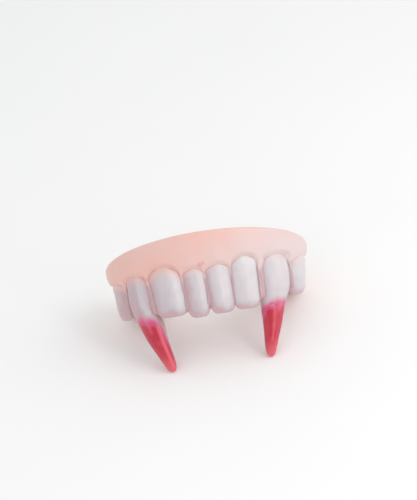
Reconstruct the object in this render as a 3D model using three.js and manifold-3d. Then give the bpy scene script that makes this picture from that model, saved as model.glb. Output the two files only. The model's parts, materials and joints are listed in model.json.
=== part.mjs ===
// Vampire fang denture: an upper arch of soft pink vinyl gum that holds eight white teeth, two of them
// long fangs with red tips. Millimetres, +Z up.
//
// The arch is drawn in a frame of its own: +X to the viewer's right, the front towards -Y, and z = 0 at
// the biting edge of the central teeth. A point is given by three numbers: "along", the length along the
// arch from its middle, positive to the right; "out", the distance in front of the tooth faces; and its
// height. The whole arch then leans back until it stands on its two fang tips and its two heels.
import * as THREE from "three";
import { LoftGeometry } from "three/addons/geometries/LoftGeometry.js";
import { mergeVertices } from "three/addons/utils/BufferGeometryUtils.js";
import Module from "manifold-3d";

// The arch in plan, measured to the tooth faces: a half ellipse in front and straight arms behind it.
const archHalfWidth = 29.4;
const archCurveDepth = 22;
const archDepth = 36;

// Gum flange, in front of the wearer's own gum.
const gumTopHeight = 24.9;
const gumHeelHeight = 17.2;
const gumBulge = 1.3;
const gumLip = 0.3;
const flangeWall = 2.2;

// Gum behind and under the teeth, with the trough for the wearer's own teeth. Its underside is lowest in
// front. The trough's front wall flares outwards from a share of its height.
const gumRecess = 1.7;
const socketBacking = 0.9;
const frontWall = 4.4;
const flareStart = 0.62;
const biteFloorHeight = 6;
const undersideFrontHeight = 1.3;
const undersideHeelHeight = 2.6;
const troughWidth = 8.4;
const tongueWall = 1.8;
const tongueWallHeight = 6;
const edgeRadius = 0.9;

// How the pieces fit each other.
const socketClearance = 0.3;

// Teeth. The tips of the fangs lie below the other teeth's edges and behind the foremost tooth face.
const toothWidth = 10;
const toothGap = 0.5;
const crownHeight = 15;
const toothThickness = 2.7;
const fangThickness = 6.4;
const fangProud = 0.4;
const fangTipHeight = -15;
const fangTipDepth = 10.2;

// One row per tooth, from the middle outwards, in shares of the sizes above. side is -1 on the viewer's
// left. width is a share of toothWidth, and gap, the groove between the tooth and its neighbour nearer the
// middle, of toothGap. edge, the height of its biting edge, and crown, the height from there to its gum
// margin, are shares of crownHeight, and dip, the drop of the margin from the middle of the tooth to its
// sides, of its own crown.
const teeth = [
  { name: "central_left", side: -1, width: 0.65, gap: 0.4, edge: 0, crown: 0.96, dip: 0.15 },
  { name: "lateral_left", side: -1, width: 1.05, gap: 1.6, edge: 0.08, crown: 1, dip: 0.27 },
  { name: "fang_left", side: -1, width: 0.92, gap: 1, edge: 0.13, crown: 0.85, dip: 0.19 },
  { name: "premolar_left", side: -1, width: 0.98, gap: 1, edge: 0.12, crown: 0.76, dip: 0.14 },
  { name: "central_right", side: 1, width: 0.74, gap: 0.4, edge: 0.01, crown: 0.96, dip: 0.15 },
  { name: "lateral_right", side: 1, width: 0.84, gap: 1, edge: 0.02, crown: 1.03, dip: 0.21 },
  { name: "fang_right", side: 1, width: 1.1, gap: 2, edge: 0.13, crown: 0.85, dip: 0.19 },
  { name: "premolar_right", side: 1, width: 0.98, gap: 1, edge: 0.11, crown: 0.76, dip: 0.14 },
];

// How the flat teeth stand. lean is the shift of the biting edge to the right, in the tooth's own widths.
// tuck is its shift inwards and proud how far the whole tooth stands forward, both in thicknesses.
const stances = {
  central_left: { lean: 0.02, tuck: 0.07, proud: 0 },
  lateral_left: { lean: 0.08, tuck: 0.11, proud: 0 },
  premolar_left: { lean: 0, tuck: 0.26, proud: 0.12 },
  central_right: { lean: 0.03, tuck: 0.07, proud: 0 },
  lateral_right: { lean: -0.06, tuck: 0.07, proud: 0 },
  premolar_right: { lean: -0.06, tuck: 0.56, proud: 0.3 },
};

// The fangs' blades, below the other teeth. width is a share of the crown's, tip the place of the tip as a
// share of archHalfWidth, and hook is below 1 where the blade turns towards its tip early.
const blades = {
  fang_left: { width: 1, tip: -0.49, hook: 1 },
  fang_right: { width: 0.75, tip: 0.52, hook: 0.8 },
};

// Form of a flat tooth from its biting edge up to where its margin begins to arch. at is a share of that
// height, width of the tooth's width, and face and back are shares of its thickness behind its foremost
// line.
const toothForm = [
  { at: 0, width: 0.5, face: 0.46, back: 0.72 },
  { at: 0.025, width: 0.76, face: 0.27, back: 0.86 },
  { at: 0.08, width: 0.92, face: 0.14, back: 0.96 },
  { at: 0.2, width: 0.98, face: 0.04, back: 1 },
  { at: 0.45, width: 0.99, face: 0, back: 1 },
  { at: 0.75, width: 1, face: 0.02, back: 1 },
];

// Form of a flat tooth under the arch of its margin. width is a share of the tooth's width, and gives the
// height by the arch. The last row is the root's end, under the gum.
const marginForm = [
  { width: 0.98, face: 0.06, back: 1 },
  { width: 0.88, face: 0.1, back: 1 },
  { width: 0.72, face: 0.16, back: 1 },
  { width: 0.5, face: 0.25, back: 1 },
  { width: 0.24, face: 0.36, back: 0.96 },
];

// Form of a fang, from its tip up. at is a share of the length from the tip to the gum margin. width is a
// share of the blade's width where crown is 0 and of the crown's where it is 1. thick and face are shares
// of the fang's thickness, the second behind its foremost line. reach is a share of the way from the
// middle of the crown to the tip.
const fangForm = [
  { at: 0, width: 0.12, crown: 0, thick: 0.16, face: 0.42, reach: 1 },
  { at: 0.012, width: 0.24, crown: 0, thick: 0.3, face: 0.35, reach: 0.99 },
  { at: 0.045, width: 0.36, crown: 0, thick: 0.44, face: 0.28, reach: 0.965 },
  { at: 0.15, width: 0.54, crown: 0, thick: 0.64, face: 0.18, reach: 0.8 },
  { at: 0.25, width: 0.67, crown: 0, thick: 0.76, face: 0.12, reach: 0.62 },
  { at: 0.35, width: 0.8, crown: 0, thick: 0.88, face: 0.06, reach: 0.46 },
  { at: 0.5, width: 0.94, crown: 0.25, thick: 1, face: 0, reach: 0.28 },
  { at: 0.57, width: 0.98, crown: 0.6, thick: 1, face: 0, reach: 0.16 },
  { at: 0.63, width: 1, crown: 0.9, thick: 0.85, face: 0, reach: 0.08 },
  { at: 0.7, width: 1, crown: 1, thick: 0.62, face: 0.01, reach: 0.03 },
  { at: 0.84, width: 0.97, crown: 1, thick: 0.5, face: 0.04, reach: 0 },
  { at: 0.93, width: 0.85, crown: 1, thick: 0.44, face: 0.09, reach: 0 },
  { at: 0.98, width: 0.62, crown: 1, thick: 0.38, face: 0.14, reach: 0 },
  { at: 1.01, width: 0.36, crown: 1, thick: 0.3, face: 0.2, reach: 0 },
];

// Where the gum has its sections, as shares of each tooth's pitch and of each arm behind the last tooth.
const toothStations = [0, 0.1, 0.26, 0.42, 0.58, 0.74, 0.9];
const armStations = [0, 0.12, 0.35, 0.65, 1];

const toothSides = 18;
const toothRoundness = 2.6;
const fangRoundness = 2.15;

const lerp = THREE.MathUtils.lerp;

// The line of the tooth faces from the left heel round the front to the right heel.
const leftHeel = new THREE.Vector2(-archHalfWidth, archDepth);
const leftShoulder = new THREE.Vector2(-archHalfWidth, archCurveDepth);
const rightShoulder = new THREE.Vector2(archHalfWidth, archCurveDepth);
const rightHeel = new THREE.Vector2(archHalfWidth, archDepth);
const arch = new THREE.CurvePath();
arch.add(new THREE.LineCurve(leftHeel, leftShoulder));
arch.add(
  new THREE.EllipseCurve(0, archCurveDepth, archHalfWidth, archCurveDepth, Math.PI, 2 * Math.PI),
);
arch.add(new THREE.LineCurve(rightShoulder, rightHeel));
const archHalfLength = arch.getLength() / 2;

function archPoint(along, out, height) {
  const place = THREE.MathUtils.clamp(0.5 + along / archHalfLength / 2, 0, 1);
  const face = arch.getPoint(place);
  const tangent = arch.getTangent(place);
  return new THREE.Vector3(face.x + tangent.y * out, face.y - tangent.x * out, height);
}

// Gives each tooth its sizes and seats it beside its neighbour nearer the middle.
for (const side of [-1, 1]) {
  let reached = 0;
  for (const tooth of teeth.filter((t) => t.side === side)) {
    tooth.wide = toothWidth * tooth.width;
    tooth.groove = toothGap * tooth.gap;
    tooth.bottom = crownHeight * tooth.edge;
    tooth.tall = crownHeight * tooth.crown;
    tooth.margin = tooth.bottom + tooth.tall;
    tooth.middle = side * (reached + tooth.groove + tooth.wide / 2);
    tooth.inner = reached;
    reached += tooth.groove + tooth.wide;
    tooth.outer = reached;
  }
}

// One ring of a tooth: a rounded outline between its left and right sides and its face and back.
function outline({ along, width, face, back, roundness, height }) {
  const ring = [];
  for (let i = 0; i < toothSides; i++) {
    const angle = (-2 * Math.PI * i) / toothSides;
    const across = Math.sign(Math.cos(angle)) * Math.abs(Math.cos(angle)) ** (2 / roundness);
    const forward = Math.sign(Math.sin(angle)) * Math.abs(Math.sin(angle)) ** (2 / roundness);
    const out = lerp(back, face, (forward + 1) / 2);
    ring.push(archPoint(along + (across * width) / 2, out, height));
  }
  return ring;
}

// Height of a tooth's gum margin at a share of its half width: highest in the middle, as a half ellipse.
function archedMargin(tooth, share) {
  return tooth.margin - tooth.tall * tooth.dip * (1 - Math.sqrt(1 - Math.min(1, share) ** 2));
}

// The rings of a flat tooth, grown all round by a clearance when it is the cutter of its own socket.
function flatToothRings(tooth, grown) {
  const shoulder = archedMargin(tooth, 1);
  const below = toothForm.map((row) => ({ ...row, height: lerp(tooth.bottom, shoulder, row.at) }));
  const under = marginForm.map((row) => ({ ...row, height: archedMargin(tooth, row.width) }));
  const rows = [...below, ...under];
  rows[0].height -= grown;
  rows.at(-1).height += grown;
  const stance = stances[tooth.name];
  return rows.map((row) => {
    const down = Math.max(0, (tooth.margin - row.height) / tooth.tall);
    const inwards = toothThickness * (stance.tuck * down ** 2 - stance.proud);
    return outline({
      along: tooth.middle + tooth.wide * stance.lean * down,
      width: tooth.wide * row.width + 2 * grown,
      face: grown - toothThickness * row.face - inwards,
      back: -grown - toothThickness * row.back - inwards,
      roundness: toothRoundness,
      height: row.height,
    });
  });
}

// The rings of a fang, whose lower part leans from its crown towards its tip.
function fangRings(tooth, grown) {
  const blade = blades[tooth.name];
  const crownMiddle = archPoint(tooth.middle, fangProud - fangThickness / 2, 0);
  const toTip = new THREE.Vector3(archHalfWidth * blade.tip, fangTipDepth, 0).sub(crownMiddle);
  return fangForm.map((row, i) => {
    const end = i === 0 ? -grown : i === fangForm.length - 1 ? grown : 0;
    const face = fangProud - fangThickness * row.face;
    const ring = outline({
      along: tooth.middle,
      width: tooth.wide * lerp(blade.width, 1, row.crown) * row.width + 2 * grown,
      face: face + grown,
      back: face - fangThickness * row.thick - grown,
      roundness: fangRoundness,
      height: lerp(fangTipHeight, tooth.margin, row.at) + end,
    });
    return ring.map((p) => p.addScaledVector(toTip, row.reach ** blade.hook));
  });
}

function toothGeometry(tooth, grown) {
  const rings = tooth.name in blades ? fangRings(tooth, grown) : flatToothRings(tooth, grown);
  return new LoftGeometry(rings, { capStart: true, capEnd: true });
}

// Height of the gum margin anywhere along the arch.
function marginHeight(along) {
  const own = teeth.filter((t) => t.side === (Math.sign(along) || 1));
  const tooth = own.find((t) => Math.abs(along) <= t.outer) || own.at(-1);
  return archedMargin(tooth, Math.abs(along - tooth.middle) / ((tooth.wide + tooth.groove) / 2));
}

// A height that changes evenly from the front to where the arms begin, and stays so along them.
function alongDepth(along, front, heel) {
  return lerp(front, heel, Math.min(1, archPoint(along, 0, 0).y / archCurveDepth));
}

// One section of the gum base: over the flange, down behind the teeth, under the floor, up the tongue side
// and down into the trough. Each point is a distance out and a height.
function gumSection(along) {
  const top = alongDepth(along, gumTopHeight, gumHeelHeight);
  const underside = alongDepth(along, undersideFrontHeight, undersideHeelHeight);
  const margin = marginHeight(along);
  const rim = flangeWall / 2;
  const rimFall = rim * (1 - Math.SQRT1_2);
  const rootWall = toothThickness + socketClearance + socketBacking;
  const inside = frontWall + troughWidth;
  const back = inside + tongueWall;
  const tongueTop = biteFloorHeight + tongueWallHeight;
  const points = [
    [gumBulge - rim, top],
    [gumBulge - rimFall, top - rimFall],
    [gumBulge, top - rim],
    [lerp(gumBulge, gumLip, 0.08), lerp(top - rim, margin, 0.35)],
    [lerp(gumBulge, gumLip, 0.4), lerp(top - rim, margin, 0.7)],
    [gumLip, margin + edgeRadius / 2],
    [lerp(gumLip, -gumRecess, 0.45), margin - edgeRadius / 4],
    [-gumRecess, margin - edgeRadius],
    [-gumRecess, underside + edgeRadius],
    [-gumRecess - edgeRadius, underside],
    [edgeRadius - back, underside],
    [-back, underside + edgeRadius],
    [-back, tongueTop - tongueWall / 2],
    [-back + tongueWall / 2, tongueTop],
    [-inside, tongueTop - tongueWall / 2],
    [-inside, biteFloorHeight + edgeRadius],
    [-inside + edgeRadius, biteFloorHeight],
    [-frontWall - edgeRadius, biteFloorHeight],
    [-frontWall, biteFloorHeight + edgeRadius],
    [-rootWall, lerp(biteFloorHeight, top, flareStart)],
    [gumBulge - flangeWall, top - rim],
    [gumBulge - flangeWall + rimFall, top - rimFall],
  ];
  return points.map(([out, height]) => archPoint(along, out, height));
}

function gumGeometry() {
  const stations = [0];
  for (const side of [-1, 1]) {
    const own = teeth.filter((t) => t.side === side);
    for (const tooth of own) {
      const shares = toothStations.filter((share) => tooth.inner > 0 || share > 0);
      stations.push(...shares.map((share) => side * lerp(tooth.inner, tooth.outer, share)));
    }
    stations.push(...armStations.map((share) => side * lerp(own.at(-1).outer, archHalfLength, share)));
  }
  stations.sort((a, b) => a - b);
  return new LoftGeometry(stations.map(gumSection), { capStart: true, capEnd: true });
}

const wasm = await Module();
wasm.setup();

// A closed mesh as a solid that can be cut, and back.
function solidOf(geometry) {
  const bare = new THREE.BufferGeometry();
  bare.setIndex(geometry.index);
  bare.setAttribute("position", geometry.getAttribute("position"));
  const merged = mergeVertices(bare, 1e-4);
  return new wasm.Manifold(
    new wasm.Mesh({
      numProp: 3,
      vertProperties: merged.attributes.position.array,
      triVerts: new Uint32Array(merged.index.array),
    }),
  );
}

function geometryOf(solid) {
  const mesh = solid.getMesh();
  const geometry = new THREE.BufferGeometry();
  geometry.setAttribute("position", new THREE.BufferAttribute(mesh.vertProperties, 3));
  geometry.setIndex(new THREE.BufferAttribute(mesh.triVerts, 1));
  geometry.computeVertexNormals();
  return geometry;
}

const gumMaterial = () => new THREE.MeshStandardMaterial({ color: "#eec6ba", roughness: 0.5, metalness: 0 });
const toothMaterial = () => new THREE.MeshStandardMaterial({ color: "#dedadb", roughness: 0.4, metalness: 0 });
const fangMaterial = () => new THREE.MeshStandardMaterial({ color: "#d4526a", roughness: 0.3, metalness: 0 });

function named(name, geometry, material) {
  const mesh = new THREE.Mesh(geometry, material);
  mesh.name = name;
  return mesh;
}

// Gum base with a socket for each tooth.
let gum = solidOf(gumGeometry());
for (const tooth of teeth) {
  gum = gum.subtract(solidOf(toothGeometry(tooth, socketClearance)));
}

const dentition = new THREE.Group();
dentition.add(named("gum_base", geometryOf(gum), gumMaterial()));
for (const tooth of teeth) {
  const material = tooth.name in blades ? fangMaterial() : toothMaterial();
  dentition.add(named(tooth.name, toothGeometry(tooth, 0), material));
}

// The lean at which the lowest point of the fangs and the lowest point of the heels are level.
function restLean(fangPoints, gumPoints) {
  let lean = 0;
  const heightWhenLeaning = (p) => p.z * Math.cos(lean) - p.y * Math.sin(lean);
  const lowest = (points) => points.reduce((a, b) => (heightWhenLeaning(b) < heightWhenLeaning(a) ? b : a));
  const heels = gumPoints.filter((p) => p.y > archCurveDepth);
  for (let step = 0; step < 12; step++) {
    const tip = lowest(fangPoints);
    const heel = lowest(heels);
    lean = Math.atan2(heel.z - tip.z, heel.y - tip.y);
  }
  return lean;
}

function pointsOf(mesh) {
  const position = mesh.geometry.getAttribute("position");
  const point = (_, i) => new THREE.Vector3().fromBufferAttribute(position, i);
  return Array.from({ length: position.count }, point);
}

const fangPoints = dentition.children.filter((m) => m.name in blades).flatMap(pointsOf);
dentition.rotation.x = -restLean(fangPoints, pointsOf(dentition.children[0]));

// The origin is on the surface, under the middle of the part.
dentition.updateMatrixWorld(true);
const bounds = new THREE.Box3().setFromObject(dentition, true);
const middle = bounds.getCenter(new THREE.Vector3());
dentition.position.set(-middle.x, -middle.y, -bounds.min.z);

const denture = new THREE.Group();
denture.add(dentition);

export default denture;
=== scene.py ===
"""Vampire fang denture in soft moulded vinyl, with painted teeth and lacquered fang tips.

The pieces are drawn in the arch's own frame: +X to the viewer's right, the front towards -Y, and z = 0 at the
biting edge of the central teeth. A place on the arch is given by its length along the line of the tooth
faces, positive to the right, the distance out in front of that line, and its height. Each finished mesh is
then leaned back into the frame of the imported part. Metres throughout.
"""

import json
import math
from bisect import bisect_right

import bmesh
import bpy
from bpy.props import FloatProperty, FloatVectorProperty, PointerProperty
from mathutils import Matrix, Vector, noise


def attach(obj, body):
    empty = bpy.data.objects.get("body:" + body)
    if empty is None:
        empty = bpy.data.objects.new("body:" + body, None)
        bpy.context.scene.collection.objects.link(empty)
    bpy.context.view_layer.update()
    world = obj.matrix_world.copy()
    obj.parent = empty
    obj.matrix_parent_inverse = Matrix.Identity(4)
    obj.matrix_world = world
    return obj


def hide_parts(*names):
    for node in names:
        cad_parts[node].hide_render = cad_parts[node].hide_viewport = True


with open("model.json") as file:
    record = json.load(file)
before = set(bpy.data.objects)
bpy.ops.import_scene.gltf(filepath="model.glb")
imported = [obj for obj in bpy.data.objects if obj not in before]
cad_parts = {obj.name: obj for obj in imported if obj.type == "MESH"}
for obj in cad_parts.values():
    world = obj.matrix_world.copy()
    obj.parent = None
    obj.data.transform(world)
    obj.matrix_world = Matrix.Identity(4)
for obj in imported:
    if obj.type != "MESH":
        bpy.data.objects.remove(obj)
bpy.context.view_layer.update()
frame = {"record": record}

bl_info = {
    "name": "Vampire Fang Denture",
    "version": (1, 0, 0),
    "blender": (4, 5, 0),
    "location": "3D View > Sidebar > Denture",
    "description": "Moulds the gum, paints the teeth and sets the studio of a vampire fang denture",
    "category": "Object",
}

MM = 0.001


def rows(keys, *lines):
    """The lines of a table as dictionaries."""
    return [dict(zip(keys.split(), line)) for line in lines]


# One row per tooth, from the middle outwards. side is -1 on the viewer's left. width is a share of the
# tooth width, gap, the groove towards the middle, of the tooth gap, edge and crown, the heights of the
# biting edge and from there to the gum margin, of the crown height, and dip, the drop of the margin at its
# sides, of the crown.
TEETH = rows(
    "name side width gap edge crown dip",
    ("central_left", -1, 0.65, 0.4, 0, 0.96, 0.15),
    ("lateral_left", -1, 1.05, 1.6, 0.08, 1, 0.27),
    ("fang_left", -1, 0.92, 1, 0.13, 0.85, 0.19),
    ("premolar_left", -1, 0.98, 1, 0.12, 0.76, 0.14),
    ("central_right", 1, 0.74, 0.4, 0.01, 0.96, 0.15),
    ("lateral_right", 1, 0.84, 1, 0.02, 1.03, 0.21),
    ("fang_right", 1, 1.1, 2, 0.13, 0.85, 0.19),
    ("premolar_right", 1, 0.98, 1, 0.11, 0.76, 0.14),
)

# How the flat teeth stand. lean is the shift of the biting edge to the right, in the tooth's own widths,
# tuck its shift inwards and proud how far the whole tooth stands forward, both in thicknesses.
STANCES = {
    "central_left": {"lean": 0.02, "tuck": 0.07, "proud": 0},
    "lateral_left": {"lean": 0.08, "tuck": 0.11, "proud": 0},
    "premolar_left": {"lean": 0, "tuck": 0.26, "proud": 0.12},
    "central_right": {"lean": 0.03, "tuck": 0.07, "proud": 0},
    "lateral_right": {"lean": -0.06, "tuck": 0.07, "proud": 0},
    "premolar_right": {"lean": -0.06, "tuck": 0.56, "proud": 0.3},
}

# The fangs' blades, below the other teeth. width is a share of the crown's, tip the place of the tip as a
# share of the arch's half width, and hook is below 1 where the blade turns towards its tip early.
BLADES = {
    "fang_left": {"width": 1, "tip": -0.49, "hook": 1},
    "fang_right": {"width": 0.75, "tip": 0.52, "hook": 0.8},
}

# Form of a flat tooth from its biting edge (at 0) to where its margin begins to arch (at 1). width is a
# share of the tooth's width, and face and back are shares of its thickness behind its foremost line.
TOOTH_FORM = {
    "at": (-0.006, 0, 0.025, 0.08, 0.2, 0.45, 0.75),
    "width": (0, 0.45, 0.675, 0.86, 0.965, 0.99, 1),
    "face": (0.56, 0.46, 0.28, 0.15, 0.05, 0, 0.02),
    "back": (0.6, 0.72, 0.86, 0.96, 1, 1, 1),
}

# Form of a flat tooth under the arch of its margin, where its width gives the height. The last two are at
# the margin's top and at the root's end.
MARGIN_FORM = {
    "width": (0.98, 0.88, 0.72, 0.5, 0.36, 0),
    "face": (0.03, 0.045, 0.06, 0.08, 0.1, 0.6),
    "back": (1, 1, 1, 1, 0.98, 0.75),
}

# Form of a fang, from its tip up. at is a share of the length from the tip to the gum margin. width is a
# share of the blade's width where crown is 0 and of the crown's where it is 1. thick and face are shares of
# the fang's thickness, and reach is a share of the way from the middle of the crown to the tip.
FANG_FORM = {
    "at": (0, 0.002, 0.012, 0.045, 0.15, 0.25, 0.35, 0.5, 0.57, 0.63, 0.7, 0.84, 0.93, 0.98, 1.01, 1.04),
    "width": (0, 0.13, 0.25, 0.38, 0.54, 0.67, 0.8, 0.94, 0.98, 1, 1, 0.97, 0.85, 0.62, 0.36, 0),
    "crown": (0, 0, 0, 0, 0, 0, 0, 0.25, 0.6, 0.9, 1, 1, 1, 1, 1, 1),
    "thick": (0.04, 0.17, 0.31, 0.45, 0.64, 0.76, 0.88, 1, 1, 0.85, 0.62, 0.5, 0.44, 0.38, 0.3, 0.2),
    "face": (0.48, 0.415, 0.345, 0.275, 0.18, 0.12, 0.06, 0, 0, 0, 0.01, 0.04, 0.055, 0.075, 0.1, 0.24),
    "reach": (1, 1, 0.99, 0.965, 0.8, 0.62, 0.46, 0.28, 0.16, 0.08, 0.03, 0, 0, 0, 0, 0),
}


def linear(hex_colour):
    """An sRGB hex colour as linear red, green and blue."""
    parts = [int(hex_colour[i : i + 2], 16) / 255 for i in (1, 3, 5)]
    return tuple(c / 12.92 if c <= 0.04045 else ((c + 0.055) / 1.055) ** 2.4 for c in parts)


def size(name, description, millimetres):
    """A length that the user can change."""
    return FloatProperty(
        name=name, description=description, default=millimetres * MM, unit="LENGTH", precision=5
    )


def colour(name, description, hex_colour):
    """A colour that the user can change."""
    return FloatVectorProperty(
        name=name, description=description, subtype="COLOR", size=3, min=0, max=1, default=linear(hex_colour)
    )


class DentureSizes(bpy.types.PropertyGroup):
    """Driving sizes of the gum and the teeth."""

    arch_half_width: size("Arch half width", "Half the width of the arch at the tooth faces", 29.4)
    arch_curve_depth: size("Arch curve depth", "Depth of the arch's elliptical front", 22)
    arch_depth: size("Arch depth", "Depth of the arch with its straight arms", 36)
    gum_top: size("Gum top", "Height of the gum's rim in front", 24.9)
    gum_heel: size("Gum heel", "Height of the gum's rim at the arms", 17.2)
    gum_bulge: size("Gum bulge", "How far the rim stands out from the tooth faces", 1.3)
    gum_lip: size("Gum lip", "How far the gum stands out at the teeth's margins", 0.1)
    gum_recess: size("Gum recess", "How far the gum stands back below the margin, behind the last teeth", 1.7)
    seat_depth: size("Seat depth", "How far under a tooth's face the gum passes at its margin", 0.3)
    groove_depth: size("Groove depth", "Depth of the gum in the grooves between the teeth", 0.72)
    strip_depth: size("Strip depth", "Depth of the gum in the wide groove beside the right fang", 0.3)
    outer_depth: size("Outer groove depth", "Depth of the gum between the fangs and the last teeth", 0.3)
    crease_depth: size("Crease depth", "How much deeper the middle of a groove is", 0.2)
    root_bulge: size("Root bulge", "Swelling of the gum over each tooth's root", 0.22)
    front_edge_radius: size("Front edge radius", "Rounding of the underside's front edge", 1.9)
    front_edge_raise: size("Front edge raise", "How much higher the underside starts in front", 1.1)
    flange_wall: size("Flange wall", "Thickness of the flange at its rim", 2.2)
    front_wall: size("Front wall", "Distance from the tooth faces to the trough", 4.4)
    root_wall: size("Root wall", "Distance from the tooth faces to the flange's inside at the roots", 3.9)
    bite_floor: size("Bite floor", "Height of the trough's floor", 6)
    underside_front: size("Underside in front", "Height of the underside in front", 1.3)
    underside_heel: size("Underside at the arms", "Height of the underside at the arms", 2.6)
    trough_width: size("Trough width", "Width of the trough for the wearer's teeth", 8.4)
    tongue_wall: size("Tongue wall", "Thickness of the wall on the tongue's side", 1.8)
    tongue_wall_height: size("Tongue wall height", "Height of the tongue's wall above the trough's floor", 6)
    edge_radius: size("Edge radius", "Rounding of the moulding's edges", 0.9)
    floor_radius: size("Floor radius", "Rounding between the trough's floor and its walls", 1.5)
    tooth_width: size("Tooth width", "Width that the teeth's widths are shares of", 10)
    tooth_gap: size("Tooth gap", "Groove that the grooves between teeth are shares of", 0.5)
    crown_height: size("Crown height", "Height that the teeth's crowns are shares of", 15)
    tooth_thickness: size("Tooth thickness", "Thickness of the flat teeth", 2.7)
    paint_swell: size("Paint swell", "How far the painted teeth swell into the grooves at each side", 0.17)
    fang_thickness: size("Fang thickness", "Thickness of the fangs", 6.4)
    fang_proud: size("Fang proud", "How far the fangs stand forward of the other teeth", 0.4)
    fang_tip_height: size("Fang tip height", "Height of the fangs' tips", -15)
    fang_tip_depth: size("Fang tip depth", "Depth of the fangs' tips behind the foremost tooth face", 10.2)


class DentureColours(bpy.types.PropertyGroup):
    """Colours of the vinyl, the paint, the lacquer and the studio."""

    gum: colour("Gum", "Pink of the vinyl", "#EEBEB3")
    # The deeper pink is partly the vinyl's own round the margins and partly painted shade: under the gum's lip
    # and at the bottoms of the grooves beside the fangs.
    gum_deep_and_shade: colour("Gum, deep", "Deeper pink round the margins and in the grooves", "#CF9291")
    # The pale pink is painted light, where the front is painted as lit towards the viewer's right and higher
    # up.
    gum_pale_lit: colour("Gum, pale", "Paler pink on the viewer's right and beside the teeth", "#E2CFCE")
    tooth_white: colour("Tooth white", "Thick paint on the faces of the teeth", "#E2DCDE")
    tooth_grey: colour("Tooth grey", "Thinner paint, which looks lilac grey over the pink", "#CBC2C7")
    # The thin paint's mauve is also painted shade, on the teeth's flanks turned from the light and in the
    # grooves.
    tooth_shade: colour("Tooth shade", "Thin paint towards the grooves", "#C5A6AC")
    magenta: colour("Lacquer, thin", "Thin lacquer where the red of a fang begins", "#D8608F")
    red: colour("Lacquer", "Lacquer on the fangs' tips", "#C01A38")
    # The light red also colours the painted highlights along the blades.
    red_light: colour("Lacquer, light", "Lacquer over the pale vinyl at the fangs' very tips", "#E3636F")
    paper: colour("Floor", "Matt floor of the studio", "#FAFBFB")


def smoothstep(low, high, x):
    """0 below low, 1 above high, and a smooth rise between them."""
    t = min(1, max(0, (x - low) / (high - low)))
    return t * t * (3 - 2 * t)


def lerp(a, b, t):
    return a + (b - a) * t


def smooth_curve(xs, ys):
    """A smooth curve through the points that never overshoots them."""
    steep = [(y1 - y0) / (x1 - x0) for x0, x1, y0, y1 in zip(xs, xs[1:], ys, ys[1:])]
    inner = (2 * a * b / (a + b) if a * b > 0 else 0 for a, b in zip(steep, steep[1:]))
    slopes = [steep[0], *inner, steep[-1]]

    def value(x):
        i = min(len(xs) - 2, max(0, bisect_right(xs, x) - 1))
        span = xs[i + 1] - xs[i]
        t = min(1, max(0, (x - xs[i]) / span))
        rise = (3 - 2 * t) * t * t
        pull = slopes[i] * t * (1 - t) ** 2 - slopes[i + 1] * t * t * (1 - t)
        return lerp(ys[i], ys[i + 1], rise) + span * pull

    return value


class Arch:
    """The line of the tooth faces: a half ellipse in front and a straight arm on each side behind it."""

    STEPS = 600

    def __init__(self, sizes):
        self.half_width = sizes.arch_half_width
        self.curve_depth = sizes.arch_curve_depth
        self.turns = [math.pi / 2 * i / self.STEPS for i in range(self.STEPS + 1)]
        self.lengths = [0.0]
        for a, b in zip(self.turns, self.turns[1:]):
            self.lengths.append(self.lengths[-1] + (self.on_curve(b) - self.on_curve(a)).length)
        self.half_length = self.lengths[-1] + sizes.arch_depth - sizes.arch_curve_depth

    def on_curve(self, turn):
        return Vector((self.half_width * math.sin(turn), self.curve_depth * (1 - math.cos(turn)), 0))

    def face(self, along):
        """The point of the line at a length along it, and the direction straight out of it."""
        length = abs(along)
        side = -1 if along < 0 else 1
        if length >= self.lengths[-1]:
            point = Vector((self.half_width, self.curve_depth + length - self.lengths[-1], 0))
            outwards = Vector((1, 0, 0))
        else:
            i = bisect_right(self.lengths, length) - 1
            share = (length - self.lengths[i]) / (self.lengths[i + 1] - self.lengths[i])
            turn = lerp(self.turns[i], self.turns[i + 1], share)
            point = self.on_curve(turn)
            outwards = Vector((self.curve_depth * math.sin(turn), -self.half_width * math.cos(turn), 0))
            outwards.normalize()
        point.x *= side
        outwards.x *= side
        return point, outwards

    def place(self, along, out, height):
        point, outwards = self.face(along)
        return point + outwards * out + Vector((0, 0, height))


# How far a tooth's root goes on under the gum, past its margin.
ROOT_STUB = 0.7 * MM

# Exponents of the rounded outlines of a flat tooth's and a fang's rings, and of both at the gum margin.
TOOTH_ROUNDNESS = 1.95
FANG_ROUNDNESS = 2.1
MARGIN_ROUNDNESS = 3.6

# How far below the margin's sides a tooth's outline begins to grow squarer, and below its top it is square.
SQUARER_BELOW = 1.5 * MM
SQUARE_BELOW = 0.8 * MM


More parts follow.
